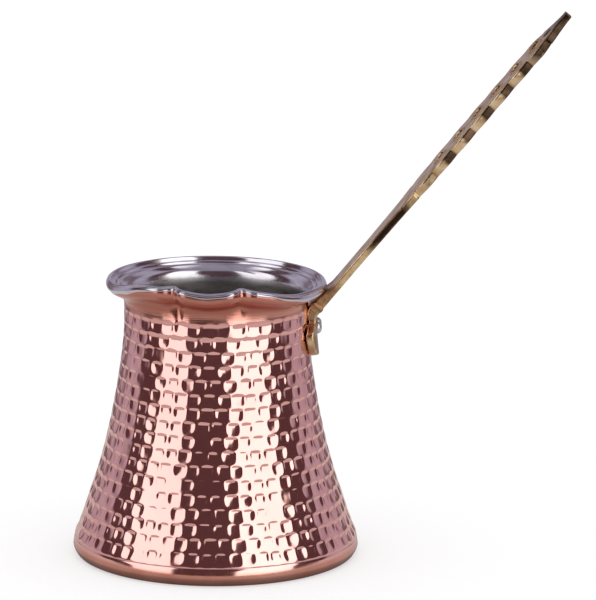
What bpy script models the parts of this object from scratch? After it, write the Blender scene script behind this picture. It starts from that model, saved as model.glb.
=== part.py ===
"""A Turkish coffee pot (cezve): a hammered copper pot, the tin lining inside it, a cast brass
handle and the two aluminium rivets that hold the handle to the neck.

Metres, +Z up. The origin is the centre of the flat bottom, the handle points along +X and the
pouring spout faces -Y.
"""

import math

import bmesh
import bpy
from mathutils import Matrix, Vector

# The pot
RIM_HEIGHT = 0.0968
RIM_RADIUS = 0.0376
NECK_RADIUS = 0.0317
BASE_RADIUS = 0.0493
COPPER_THICKNESS = 0.0012
LIP_START = 0.0865
LIP_LEAN = math.radians(0.5)
LIP_INSIDE_DROP = 0.0004
FLOOR_CORNER_RISE = 0.0010
FLOOR_CORNER_IN = 0.0008

# The lining, kept a touching gap away from the copper
TOUCHING_GAP = 0.0003
LINING_THICKNESS = 0.0004

# The spout: the lip rises round it, and a fold on each side pinches it in
SPOUT_ANGLE = math.radians(-95.5)
SPOUT_HALF_ANGLE = math.radians(20)
SPOUT_RISE = 0.0048
SPOUT_RISE_FLAT = math.radians(24)
SPOUT_RISE_REACH = math.radians(64)
SPOUT_DIP = 0.0012
SPOUT_IN = 0.0006
FOLD_SPREAD = math.radians(4.5)
FOLD_IN = 0.0030
FOLD_RISE = 0.0003

# The handle: a palm plate on the neck, a bend, a stem, a row of lobes and a slim tip
HANDLE_THICKNESS = 0.0026
PLATE_BOTTOM = 0.0705
PLATE_HALF_WIDTH = 0.0098
PLATE_END_SHARE = 0.30
PLATE_ROUNDING_END = 0.55
PLATE_SHOULDER_START = 0.62
SLOPE_REACH = 0.002
BEND_HEIGHT = 0.0849
BEND_RADIUS = 0.0042
COLLAR_DISTANCE = 0.0028
COLLAR_HALF_LENGTH = 0.0009
COLLAR_SWELL = 0.0006
WEB_THICKNESS = 0.0012
WEB_FULL_END = 0.0060
WEB_END = 0.0125
STEM_ANGLE = math.radians(50.5)
STEM_LENGTH = 0.1352
STEM_HALF_WIDTH = 0.0048
PLAIN_START = 0.008
PLAIN_SPACING = 0.0055
WIDENING_START = 0.0190
LOBE_START = 0.0545
LOBE_PITCH = 0.0100
LOBE_COUNT = 7
LOBES_END = LOBE_START + LOBE_COUNT * LOBE_PITCH
WIDENING_END = LOBE_START + 3 * LOBE_PITCH
LOBE_HALF_WIDTH = 0.0086
LOBE_NOTCH = 0.0011
LOBE_SWELL = 0.0003
LOBE_SWELL_REACH = 0.010
TIP_START = LOBES_END - 0.6 * LOBE_PITCH
TIP_HALF_WIDTH = 0.0018
TIP_DROP = 0.0003
TIP_DROP_REACH = 0.030
TIP_THINNING = 0.0003
TIP_THINNING_REACH = 0.020
EDGE_CHAMFER = 0.0005

# The pierced ornament: one oval opening in each lobe, and a long one to hang the pot by
OPENING_HALF_LENGTH = 0.0023
OPENING_HALF_WIDTH = 0.0030
FIRST_OPENING_SHARE = 0.8
OPENING_SHARE_STEP = 0.1
HANGING_DISTANCE = LOBES_END + 0.1 * LOBE_PITCH
HANGING_HALF_LENGTH = 0.0021
HANGING_HALF_WIDTH = 0.0017

# The rivets, side by side on the palm plate
RIVET_HEIGHT = 0.0803
RIVET_SIDE_ANGLE = math.radians(5.4)
RIVET_HEAD_RADIUS = 0.0021
RIVET_HEAD_HEIGHT = 0.0018
RIVET_SHANK_RADIUS = 0.0012
RIVET_SET_RADIUS = 0.0020
RIVET_SET_HEIGHT = 0.0009
RIVET_SET_TAPER = 0.8

# How finely round shapes are divided
COARSE_STEP = 7.5
FINE_STEP = 3.5
SPOUT_ZONE = 31.5
PLATE_STEPS = 12
BEND_STEPS = 4
PLAIN_STEPS = 8
STEPS_PER_LOBE = 6
TIP_STEPS = 5
ACROSS_STEPS = 4
HOLE_SIDES = 12
RIVET_SIDES = 16
DOME_STEPS = 4
CUTTER_LENGTH = 0.012

# Height and radius of the outer wall, from the bottom edge to the lip's edge
OUTER_WALL = [
    (0.0000, BASE_RADIUS - 0.0025),
    (0.0005, BASE_RADIUS - 0.0015),
    (0.0014, BASE_RADIUS - 0.0007),
    (0.0026, BASE_RADIUS - 0.0002),
    (0.0040, BASE_RADIUS),
    (0.0058, BASE_RADIUS - 0.0002),
    (0.0078, BASE_RADIUS - 0.0007),
    (0.0100, 0.0475),
    (0.0140, 0.0460),
    (0.0200, 0.0441),
    (0.0280, 0.0414),
    (0.0380, 0.0386),
    (0.0500, 0.0359),
    (0.0620, 0.0338),
    (0.0740, 0.0322),
    (0.0820, NECK_RADIUS),
    (0.0880, NECK_RADIUS),
    (0.0900, NECK_RADIUS + 0.0003),
    (0.0911, NECK_RADIUS + 0.0010),
    (0.0919, NECK_RADIUS + 0.0028),
    (0.0929, RIM_RADIUS - 0.0011),
    (0.0940, RIM_RADIUS - 0.0002),
    (0.0950, RIM_RADIUS),
    (0.0963, RIM_RADIUS - 0.0004),
    (RIM_HEIGHT, RIM_RADIUS - 0.0012),
]


def clear_scene():
    """Removes whatever objects the file starts with."""
    for old in list(bpy.data.objects):
        bpy.data.objects.remove(old, do_unlink=True)


def metal(name, colour, roughness):
    """A plain metal of that colour."""
    material = bpy.data.materials.new(name)
    material.use_nodes = True
    shader = material.node_tree.nodes["Principled BSDF"]
    shader.inputs["Base Color"].default_value = (*colour, 1.0)
    shader.inputs["Metallic"].default_value = 1.0
    shader.inputs["Roughness"].default_value = roughness
    return material


def new_object(name, mesh_data, material):
    """A shaded object made of a bmesh."""
    bmesh.ops.recalc_face_normals(mesh_data, faces=mesh_data.faces)
    mesh = bpy.data.meshes.new(name)
    mesh_data.to_mesh(mesh)
    mesh_data.free()
    mesh.shade_smooth()
    mesh.set_sharp_from_angle(angle=math.radians(40))
    mesh.materials.append(material)
    item = bpy.data.objects.new(name, mesh)
    bpy.context.scene.collection.objects.link(item)
    return item


def smooth_step(value, low, high):
    """0 below low, 1 above high, and a smooth ramp between them."""
    share = min(max((value - low) / (high - low), 0.0), 1.0)
    return share * share * (3.0 - 2.0 * share)


def offset_wall(distance):
    """The wall's outline moved inwards by a distance, as (height, radius) pairs."""
    moved = []
    last = len(OUTER_WALL) - 1
    for index, (height, radius) in enumerate(OUTER_WALL):
        below = OUTER_WALL[max(index - 1, 0)]
        above = OUTER_WALL[min(index + 1, last)]
        along = Vector((above[0] - below[0], above[1] - below[1])).normalized()
        moved.append((height + along.y * distance, radius - along.x * distance))
    return moved


def inner_wall(distance, floor_height):
    """The outline of the pot's inside at a distance from the outer wall, lip first."""
    inside = [pair for pair in offset_wall(distance) if pair[0] > floor_height + FLOOR_CORNER_RISE]
    inside = [pair for pair in inside if pair[0] < RIM_HEIGHT - LIP_INSIDE_DROP]
    floor_radius = inside[0][1] - FLOOR_CORNER_IN
    return inside[::-1] + [(floor_height, floor_radius)]


def ring_angles():
    """The angles of the pot's rings, close together around the spout."""
    fine_count = round(2 * SPOUT_ZONE / FINE_STEP)
    coarse_count = round((360 - 2 * SPOUT_ZONE) / COARSE_STEP)
    spout = math.degrees(SPOUT_ANGLE)
    degrees = [spout - SPOUT_ZONE + FINE_STEP * step for step in range(fine_count)]
    coarse = (360 - 2 * SPOUT_ZONE) / coarse_count
    degrees += [spout + SPOUT_ZONE + coarse * step for step in range(coarse_count)]
    return [math.radians(angle) for angle in degrees]


def pot_point(height, radius, angle):
    """A point of the turned shape after the spout is pinched and the lip leans a little."""
    lift = smooth_step(height, LIP_START, RIM_HEIGHT)
    away = abs(math.remainder(angle - SPOUT_ANGLE, math.tau))
    fold = math.exp(-(((away - SPOUT_HALF_ANGLE) / FOLD_SPREAD) ** 2))
    spout = 1.0 - smooth_step(away, 0.0, SPOUT_HALF_ANGLE)
    beak = 1.0 - smooth_step(away, SPOUT_RISE_FLAT, SPOUT_RISE_REACH)
    radius -= lift * (FOLD_IN * fold + SPOUT_IN * spout)
    height += lift * (FOLD_RISE * fold + SPOUT_RISE * beak - SPOUT_DIP * spout)
    height -= lift * radius * math.cos(angle) * math.tan(LIP_LEAN)
    return Vector((radius * math.cos(angle), radius * math.sin(angle), height))


def turned_shell(name, outline, material):
    """A closed shell from an outline of (height, radius) pairs with a flat disc at each end."""
    shell = bmesh.new()
    angles = ring_angles()
    rings = []
    for height, radius in outline:
        rings.append([shell.verts.new(pot_point(height, radius, angle)) for angle in angles])
    for lower, upper in zip(rings, rings[1:]):
        for index in range(len(angles)):
            following = (index + 1) % len(angles)
            corners = (lower[index], lower[following], upper[following], upper[index])
            shell.faces.new(corners)
    shell.faces.new(rings[0])
    shell.faces.new(rings[-1])
    return new_object(name, shell, material)


def rivet_axis(side):
    """A matrix that puts local +Z along a rivet, outwards, with its origin on the pot's axis."""
    turn = Matrix.Rotation(side * RIVET_SIDE_ANGLE, 4, "Z")
    tip_over = Matrix.Rotation(math.radians(90), 4, "Y")
    return Matrix.Translation((0, 0, RIVET_HEIGHT)) @ turn @ tip_over


def drill(item, place, radius):
    """Cuts a round hole through an item, along the place's local Z."""
    cutter_mesh = bmesh.new()
    bmesh.ops.create_cone(
        cutter_mesh,
        cap_ends=True,
        segments=HOLE_SIDES,
        radius1=radius,
        radius2=radius,
        depth=CUTTER_LENGTH,
        matrix=place,
    )
    cut(item, cutter_mesh)


def cut(item, cutter_mesh):
    """Takes a bmesh's shape away from an item, and keeps the cutter out of sight."""
    cutter = new_object(f"cutter_{len(bpy.data.objects)}", cutter_mesh, item.active_material)
    cutter.hide_render = True
    cutter.display_type = "WIRE"
    boolean = item.modifiers.new(cutter.name, "BOOLEAN")
    boolean.operation = "DIFFERENCE"
    boolean.solver = "EXACT"
    boolean.object = cutter


def drill_for_rivets(item, centre_radius):
    """Both rivet holes, through the wall at that radius."""
    for side in (-1, 1):
        place = rivet_axis(side) @ Matrix.Translation((0, 0, centre_radius))
        drill(item, place, RIVET_SHANK_RADIUS + TOUCHING_GAP)


def copper_body(material):
    """The pot: one shell of copper from its flat bottom to the lip's edge."""
    floor = COPPER_THICKNESS
    outline = OUTER_WALL + inner_wall(COPPER_THICKNESS, floor)
    pot = turned_shell("copper_body", outline, material)
    drill_for_rivets(pot, NECK_RADIUS)
    return pot


def tin_lining(material):
    """The tin inside the pot, ending on the flare of the lip."""
    outside = COPPER_THICKNESS + TOUCHING_GAP
    inside = outside + LINING_THICKNESS
    outer = inner_wall(outside, outside)
    inner = inner_wall(inside, inside)
    lining = turned_shell("tin_lining", outer[::-1] + inner, material)
    drill_for_rivets(lining, NECK_RADIUS)
    return lining


def wall_radius(height):
    """The outer wall's radius at a height on the neck."""
    for (low, low_radius), (high, high_radius) in zip(OUTER_WALL, OUTER_WALL[1:]):
        if low <= height <= high:
            share = (height - low) / (high - low)
            return low_radius + share * (high_radius - low_radius)
    return RIM_RADIUS


def plate_radius(height):
    """Distance from the pot's axis to the middle of the palm plate's thickness."""
    return wall_radius(height) + TOUCHING_GAP + HANDLE_THICKNESS / 2


def lobe_phase(distance):
    """Where a distance along the stem lies among the lobes: 2.5 is the middle of the third."""
    return (distance - LOBE_START) / LOBE_PITCH


def stem_half_width(distance):
    """Half of the handle's width, at a distance along the stem from the bend."""
    widening = smooth_step(distance, WIDENING_START, WIDENING_END)
    narrowing = smooth_step(distance, TIP_START, STEM_LENGTH)
    width = STEM_HALF_WIDTH + widening * (LOBE_HALF_WIDTH - STEM_HALF_WIDTH)
    width += narrowing * (TIP_HALF_WIDTH - LOBE_HALF_WIDTH)
    phase = lobe_phase(distance)
    if 0 < phase < LOBE_COUNT:
        width -= LOBE_NOTCH * (1.0 - abs(math.sin(math.pi * phase)))
    return width


def collar_swell(distance):
    """How far the rounded collar at the bend stands out of the stem."""
    share = (distance - COLLAR_DISTANCE) / COLLAR_HALF_LENGTH
    return COLLAR_SWELL * math.sqrt(max(0.0, 1.0 - share * share))


def stem_half_thickness(distance):
    """Half of the handle's thickness, at a distance along the stem from the bend."""
    swell_end = LOBE_START + LOBE_SWELL_REACH
    swell = smooth_step(distance, LOBE_START - LOBE_SWELL_REACH, swell_end)
    thinning = smooth_step(distance, STEM_LENGTH - TIP_THINNING_REACH, STEM_LENGTH)
    return HANDLE_THICKNESS / 2 + LOBE_SWELL * swell - TIP_THINNING * thinning


def plate_half_width(share):
    """Half of the palm plate's width, from its rounded lower end (0) to its shoulder (1)."""
    short_of_full = 1.0 - min(share / PLATE_ROUNDING_END, 1.0)
    rounded = math.sqrt(1.0 - short_of_full * short_of_full)
    shoulder = smooth_step(share, PLATE_SHOULDER_START, 1.0)
    width = PLATE_HALF_WIDTH * (PLATE_END_SHARE + (1.0 - PLATE_END_SHARE) * rounded)
    return width + shoulder * (STEM_HALF_WIDTH - PLATE_HALF_WIDTH)


def stem_frame():
    """The bend's corner, the direction of the stem and the upward normal of its top face."""
    corner = Vector((plate_radius(BEND_HEIGHT), 0, BEND_HEIGHT))
    direction = Vector((math.cos(STEM_ANGLE), 0, math.sin(STEM_ANGLE)))
    normal = Vector((-direction.z, 0, direction.x))
    return corner, direction, normal


def plate_stations(plate_top):
    """Cross-sections of the palm plate, from its lower end up to the bend."""
    stations = []
    for step in range(PLATE_STEPS + 1):
        share = step / PLATE_STEPS
        height = PLATE_BOTTOM + share * (plate_top - PLATE_BOTTOM)
        middle = Vector((plate_radius(height), 0, height))
        spread = plate_radius(height + SLOPE_REACH) - plate_radius(height - SLOPE_REACH)
        normal = Vector((-1, 0, spread / (2 * SLOPE_REACH))).normalized()
        stations.append((middle, normal, plate_half_width(share), HANDLE_THICKNESS / 2, 1.0))
    return stations


def bend_stations(turn, reach):
    """Cross-sections round the bend between the plate and the stem. A web thickens the side
    of the casting that faces the neck, and runs out along the stem."""
    corner, _, _ = stem_frame()
    arc_centre = corner + Vector((BEND_RADIUS, 0, -reach))
    stations = []
    for step in range(1, BEND_STEPS + 1):
        share = step / BEND_STEPS
        angle = turn * share
        web = WEB_THICKNESS * share**3
        thickness = (HANDLE_THICKNESS + web) / 2
        normal = Vector((-math.cos(angle), 0, math.sin(angle)))
        middle = arc_centre + normal * (BEND_RADIUS + web / 2)
        stations.append((middle, normal, STEM_HALF_WIDTH, thickness, 1.0 - share))
    return stations


def stem_distances():
    """Where the stem's cross-sections lie: its collar, its plain part, its lobes and its tip."""
    collar = [COLLAR_DISTANCE + COLLAR_HALF_LENGTH * step for step in (-1, -0.5, 0, 0.5, 1)]
    plain = [PLAIN_START + PLAIN_SPACING * step for step in range(PLAIN_STEPS)]
    steps = LOBE_COUNT * STEPS_PER_LOBE
    lobes = [LOBE_START + LOBE_PITCH * step / STEPS_PER_LOBE for step in range(steps + 1)]
    tip_step = (STEM_LENGTH - LOBES_END) / TIP_STEPS
    tip = [LOBES_END + tip_step * step for step in range(1, TIP_STEPS + 1)]
    return collar + plain + lobes + tip


def stem_stations():
    """Cross-sections of the stem, its lobes and its tip."""
    corner, direction, normal = stem_frame()
    stations = []
    for distance in stem_distances():
        drop = TIP_DROP * smooth_step(distance, STEM_LENGTH - TIP_DROP_REACH, STEM_LENGTH)
        web = WEB_THICKNESS * (1.0 - smooth_step(distance, WEB_FULL_END, WEB_END))
        middle = corner + direction * distance + normal * (web / 2 - drop)
        collar = collar_swell(distance)
        width = stem_half_width(distance) + collar
        thickness = stem_half_thickness(distance) + web / 2 + collar
        stations.append((middle, normal, width, thickness, 0.0))
    return stations


def handle_stations():
    """Cross-sections along the handle: (middle, upward normal, half width, half thickness,
    wrap). The wrap is 1 where the section hugs the neck and 0 where it is flat."""
    turn = math.radians(90) - STEM_ANGLE
    reach = BEND_RADIUS * math.tan(turn / 2)
    plate_top = BEND_HEIGHT - reach - TOUCHING_GAP
    return plate_stations(plate_top) + bend_stations(turn, reach) + stem_stations()


def handle_section(station):
    """The points round one chamfered cross-section of the handle."""
    middle, normal, half_width, half_thickness, wrap = station
    flat = half_width - EDGE_CHAMFER
    side = half_thickness - EDGE_CHAMFER
    corners = []
    for face in (1, -1):
        corners.append((-face * half_width, face * side))
        for step in range(ACROSS_STEPS + 1):
            across = flat * (2 * step / ACROSS_STEPS - 1)
            corners.append((face * across, face * half_thickness))
        corners.append((face * half_width, face * side))
    points = []
    for across, up in corners:
        point = middle + normal * up
        if wrap > 0:
            curve = point.x / wrap
            bend = across / curve
            point = point + Vector((curve * (math.cos(bend) - 1), curve * math.sin(bend), 0))
        else:
            point = point + Vector((0, across, 0))
        points.append(point)
    return points


def oval_cutter(place, half_length, half_width):
    """A bmesh of an oval post along the place's local Z."""
    post = bmesh.new()
    bmesh.ops.create_cone(
        post,
        cap_ends=True,
        segments=HOLE_SIDES,
        radius1=1.0,
        radius2=1.0,
        depth=CUTTER_LENGTH,
        matrix=place @ Matrix.Diagonal((half_length, half_width, 1, 1)),
    )
    return post


def stem_place(distance):
    """The frame on the stem's middle: local X along the stem and local Z out of its top."""
    corner, _, _ = stem_frame()
    lift_over = Matrix.Rotation(-STEM_ANGLE, 4, "Y")
    return Matrix.Translation(corner) @ lift_over @ Matrix.Translation((distance, 0, 0))


def brass_handle(material):
    """The handle casting: lofted cross-sections, pierced in each lobe and near the tip."""
    loft = bmesh.new()
    sections = []
    for station in handle_stations():
        sections.append([loft.verts.new(point) for point in handle_section(station)])
    for first, second in zip(sections, sections[1:]):
        for index in range(len(first)):
            following = (index + 1) % len(first)
            corners = (first[index], first[following], second[following], second[index])
            loft.faces.new(corners)
    loft.faces.new(sections[0])
    loft.faces.new(sections[-1])
    handle = new_object("brass_handle", loft, material)

    for lobe in range(1, LOBE_COUNT):
        middle = stem_place(LOBE_START + (lobe + 0.5) * LOBE_PITCH)
        share = min(1.0, FIRST_OPENING_SHARE + OPENING_SHARE_STEP * (lobe - 1))
        cut(handle, oval_cutter(middle, OPENING_HALF_LENGTH, share * OPENING_HALF_WIDTH))
    hanging = stem_place(HANGING_DISTANCE)
    cut(handle, oval_cutter(hanging, HANGING_HALF_LENGTH, HANGING_HALF_WIDTH))
    drill_for_rivets(handle, plate_radius(RIVET_HEIGHT))
    return handle


def rivet(name, side, material):
    """One rivet: a domed head outside, a shank through the plate and the wall, and a set head
    inside the lining."""
    plate_face = plate_radius(RIVET_HEIGHT) + HANDLE_THICKNESS / 2
    head_seat = plate_face + TOUCHING_GAP
    lining_face = wall_radius(RIVET_HEIGHT) - COPPER_THICKNESS - TOUCHING_GAP - LINING_THICKNESS
    set_seat = lining_face - TOUCHING_GAP
    outline = []
    for step in range(DOME_STEPS):
        angle = math.radians(90) * step / DOME_STEPS
        radius = RIVET_HEAD_RADIUS * math.cos(angle)
        outline.append((radius, head_seat + RIVET_HEAD_HEIGHT * math.sin(angle)))
    outline.insert(0, (RIVET_SHANK_RADIUS, head_seat))
    outline.insert(0, (RIVET_SHANK_RADIUS, set_seat))
    outline.insert(0, (RIVET_SET_RADIUS, set_seat))
    outline.insert(0, (RIVET_SET_RADIUS * RIVET_SET_TAPER, set_seat - RIVET_SET_HEIGHT))

    turned = bmesh.new()
    place = rivet_axis(side)
    rings = []
    for radius, height in outline:
        ring = []
        for index in range(RIVET_SIDES):
            angle = math.tau * index / RIVET_SIDES
            local = Vector((radius * math.cos(angle), radius * math.sin(angle), height))
            ring.append(turned.verts.new(place @ local))
        rings.append(ring)
    for lower, upper in zip(rings, rings[1:]):
        for index in range(RIVET_SIDES):
            following = (index + 1) % RIVET_SIDES
            corners = (lower[index], lower[following], upper[following], upper[index])
            turned.faces.new(corners)
    turned.faces.new(rings[0])
    top = turned.verts.new(place @ Vector((0, 0, head_seat + RIVET_HEAD_HEIGHT)))
    for index in range(RIVET_SIDES):
        turned.faces.new((rings[-1][index], rings[-1][(index + 1) % RIVET_SIDES], top))
    return new_object(name, turned, material)


def build():
    """Makes the whole coffee pot."""
    clear_scene()
    copper = metal("copper", (0.80, 0.42, 0.32), 0.22)
    tin = metal("tin", (0.62, 0.60, 0.64), 0.35)
    brass = metal("brass", (0.72, 0.54, 0.26), 0.28)
    aluminium = metal("aluminium", (0.72, 0.72, 0.74), 0.35)
    copper_body(copper)
    tin_lining(tin)
    brass_handle(brass)
    rivet("front_rivet", -1, aluminium)
    rivet("rear_rivet", 1, aluminium)


build()
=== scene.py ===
"""The looks of a hammered copper coffee pot (cezve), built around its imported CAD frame.

Metres, +Z up, in the CAD's own frame: the origin is the centre of the flat bottom, the handle
points along +X and the spout faces -Y.
"""

import math

import bmesh
import bpy
import numpy as np
from mathutils import Matrix, Vector


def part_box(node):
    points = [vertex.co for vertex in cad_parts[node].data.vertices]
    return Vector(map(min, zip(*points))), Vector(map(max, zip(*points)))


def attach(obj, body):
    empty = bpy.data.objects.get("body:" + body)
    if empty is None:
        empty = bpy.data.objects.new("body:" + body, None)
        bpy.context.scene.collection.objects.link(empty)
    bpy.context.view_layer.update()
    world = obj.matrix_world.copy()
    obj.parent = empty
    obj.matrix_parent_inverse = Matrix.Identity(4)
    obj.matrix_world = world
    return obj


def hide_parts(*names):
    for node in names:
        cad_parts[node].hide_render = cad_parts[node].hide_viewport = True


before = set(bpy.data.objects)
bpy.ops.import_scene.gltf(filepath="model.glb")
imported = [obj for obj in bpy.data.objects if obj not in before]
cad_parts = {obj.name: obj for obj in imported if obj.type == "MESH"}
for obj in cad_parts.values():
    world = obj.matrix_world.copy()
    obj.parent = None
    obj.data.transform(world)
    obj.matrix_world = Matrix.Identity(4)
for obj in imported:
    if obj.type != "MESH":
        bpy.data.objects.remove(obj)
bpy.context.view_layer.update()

# The pot's driving dimensions. They follow the CAD, except that the spout rises less and further
# to the left, and that the base is a hair narrower so that it stays inside the CAD's
RIM_HEIGHT = 0.0968
RIM_RADIUS = 0.0376
COPPER_TOP = RIM_HEIGHT - 0.0007  # where the tin takes over on the lip's edge
NECK_RADIUS = 0.0317
BASE_RADIUS = 0.04926
LIP_START = 0.0865
LIP_FULL = 0.0945
LIP_LEAN = math.radians(0.5)
SPOUT_ANGLE = math.radians(-95.5)
SPOUT_HALF_ANGLE = math.radians(20)
SPOUT_RISE = 0.0034
SPOUT_RISE_TURN = math.radians(7)  # how far left of the spout the rise has its middle
SPOUT_RISE_FLAT = math.radians(24)
SPOUT_RISE_REACH = math.radians(64)
SPOUT_DIP = 0.0012
SPOUT_IN = 0.0006
FOLD_SPREAD = math.radians(4.5)
FOLD_IN = 0.0030
FOLD_RISE = 0.0003

# The tin outside the lip: its lower edge, its upper edge, how much lower the lower edge is at the
# pot's two sides than at the spout, and how far the tin swells out between the edges
TIN_CLEARANCE = 0.00006
TIN_LOW_EDGE = 0.0952
TIN_HIGH_EDGE = 0.0962
TIN_SIDE_DROP = 0.0016
TIN_BEAD = 0.00026
TIN_UNEVEN = 0.0002
TIN_RIPPLE = 0.00012
TIN_COLUMNS = 420

# Lengths along the tin's path from the lip's edge: the rings are close together up to the first
# and further apart from the second
TIN_CLOSE_RINGS_END = 0.0185
TIN_WIDE_RINGS_START = 0.0195

# Height and radius where the tin's hidden back, which lies on the copper, starts and ends
TIN_BACK_FLOOR = (0.0015, 0.0430)
TIN_BACK_TOP = (0.0965, RIM_RADIUS - 0.0010)

# The hammered band: rows of rounded dents between two smooth bands
HAMMER_LOW = 0.0068
HAMMER_HIGH = 0.0875
HAMMER_ROWS = 17
GROOVE_HEIGHT = 0.0064
GROOVE_DEPTH = 0.00014
GROOVE_HALF_WIDTH = 0.00022
DENT_SPACING = 0.00495
DENT_RADIUS = 0.00222
DENT_DEPTH = 0.00029
DENT_LOW_GAIN = 0.35
DENT_BOTTOM = 0.33
DENT_SIDE_POWER = 3.4
DENT_RISE = 0.00018
ROW_SWAY = 0.00016
ROW_STEP = 0.00009
WAVE_DEPTH = 0.00004
COLUMNS = 460
ROW_RINGS = [0.0, 0.12, 0.25, 0.38, 0.50, 0.61, 0.71, 0.79, 0.86, 0.93]

# The crease that runs from the spout's left fold down the neck
CREASE_ANGLE = math.radians(-113.5)
CREASE_DEPTH = 0.00035
CREASE_HALF_WIDTH = 0.0014
CREASE_LOW = 0.0835
CREASE_HIGH = 0.0920
CREASE_FADE_LOW = 0.0060
CREASE_FADE_HIGH = 0.0030
CREASE_DRIFT = 0.022
CREASE_DRIFT_HEIGHT = 0.0085

# The handle's driving dimensions. They follow the CAD, except for the collar and the web, which
# is the extra thickness on the inner side of the bend
HANDLE_THICKNESS = 0.0026
PLATE_BOTTOM = 0.0705
PLATE_HALF_WIDTH = 0.0098
PLATE_END_SHARE = 0.30
PLATE_ROUNDING_END = 0.55
PLATE_SHOULDER_START = 0.62
TOUCHING_GAP = 0.0003
BEND_HEIGHT = 0.0849
BEND_RADIUS = 0.0042
COLLAR_DISTANCE = 0.0028
COLLAR_HALF_LENGTH = 0.0009
COLLAR_SWELL = 0.0003
WEB_THICKNESS = 0.0015
WEB_BEND_SWELL = 0.0007
WEB_FULL_END = 0.0060
WEB_END = 0.0125
STEM_ANGLE = math.radians(50.5)
STEM_LENGTH = 0.1352
STEM_HALF_WIDTH = 0.0048
WIDENING_START = 0.0190
LOBE_START = 0.0545
LOBE_PITCH = 0.0100
LOBE_COUNT = 7
LOBES_END = LOBE_START + LOBE_COUNT * LOBE_PITCH
WIDENING_END = LOBE_START + 3 * LOBE_PITCH
LOBE_HALF_WIDTH = 0.0086
LOBE_NOTCH = 0.0011
LOBE_SWELL = 0.0003
LOBE_SWELL_REACH = 0.010
TIP_START = LOBES_END - 0.6 * LOBE_PITCH
TIP_HALF_WIDTH = 0.0018
TIP_DROP = 0.0003
TIP_DROP_REACH = 0.030
TIP_THINNING = 0.0003
TIP_THINNING_REACH = 0.020
OPENING_HALF_LENGTH = 0.0023
OPENING_HALF_WIDTH = 0.0030
FIRST_OPENING_SHARE = 0.8
OPENING_SHARE_STEP = 0.1
HANGING_DISTANCE = LOBES_END + 0.1 * LOBE_PITCH
HANGING_HALF_LENGTH = 0.0021
HANGING_HALF_WIDTH = 0.0017
CAST_VOXEL = 0.00027
EDGE_SOFTENING = 0.00035
SIDE_LEAN = 0.00022
PLAIN_SIDE_CHANGE = 0.00034
LOBE_LEAN = 0.00016
TIP_LEAN_DROP = 0.00030
TIP_LEAN_REACH = 0.020
POST_DEPTH = 0.012
RING_GAP = 0.0006
RING_THICKNESS = 0.0005
RING_SINK = 0.00012

# The rivets
RIVET_ANGLE = math.radians(5.4)
RIVET_HEAD_RADIUS = 0.0021
RIVET_HEAD_HEIGHT = 0.0018
RIVET_SHANK_RADIUS = 0.0012
RIVET_HEAD_EDGE = 0.0002
RIVET_HEAD_SINK = 0.0001
RIVET_SET_RADIUS = 0.0020
RIVET_SET_HEIGHT = 0.0010

# What the metal mirrors of the floor ends at this distance from the pot's axis
TABLE_RADIUS = 0.36

# Share of the pale floor's own glow, which softens the shadow round the pot
FLOOR_GLOW = 0.5

# Camera: a long lens a little above the pot, looking along +Y
CAMERA_DISTANCE = 2.0
CAMERA_ELEVATION = math.radians(13.7)
CAMERA_ROLL = math.radians(0.35)
CAMERA_LENS = 347.5
CAMERA_FOCUS_HEIGHT = 0.045
CAMERA_PAN = 0.0141
CAMERA_TILT = 0.02156

# Height and radius of the outer wall, from the bottom edge to the lip's edge
OUTER_WALL = [
    (0.0000, BASE_RADIUS - 0.0025),
    (0.0005, BASE_RADIUS - 0.0015),
    (0.0014, BASE_RADIUS - 0.0008),
    (0.0025, BASE_RADIUS - 0.0002),
    (0.0034, BASE_RADIUS),
    (0.0044, BASE_RADIUS - 0.00013),
    (0.0058, BASE_RADIUS - 0.00035),
    (0.0078, BASE_RADIUS - 0.0008),
    (0.0100, 0.0475),
    (0.0140, 0.0460),
    (0.0200, 0.0441),
    (0.0280, 0.0414),
    (0.0380, 0.0386),
    (0.0500, 0.0359),
    (0.0620, 0.0338),
    (0.0740, 0.0322),
    (0.0820, NECK_RADIUS),
    (0.0880, NECK_RADIUS),
    (0.0900, NECK_RADIUS + 0.0003),
    (0.0911, NECK_RADIUS + 0.0010),
    (0.0919, NECK_RADIUS + 0.0028),
    (0.0929, RIM_RADIUS - 0.0011),
    (0.0940, RIM_RADIUS - 0.0002),
    (0.0950, RIM_RADIUS),
    (0.0963, RIM_RADIUS - 0.0004),
    (RIM_HEIGHT, RIM_RADIUS - 0.0012),
]

# Height and radius of the copper's inside, from the lip down to the floor
COPPER_INSIDE = [
    (0.0955, RIM_RADIUS - 0.0012),
    (0.0944, RIM_RADIUS - 0.0013),
    (0.0938, RIM_RADIUS - 0.0018),
    (0.0929, NECK_RADIUS + 0.0023),
    (0.0920, NECK_RADIUS + 0.0003),
    (0.0903, NECK_RADIUS - 0.0008),
    (0.0880, NECK_RADIUS - 0.0011),
    (0.0600, 0.0331),
    (0.0300, 0.0397),
    (0.0080, BASE_RADIUS - 0.0019),
    (0.0012, BASE_RADIUS - 0.0019),
]

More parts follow.
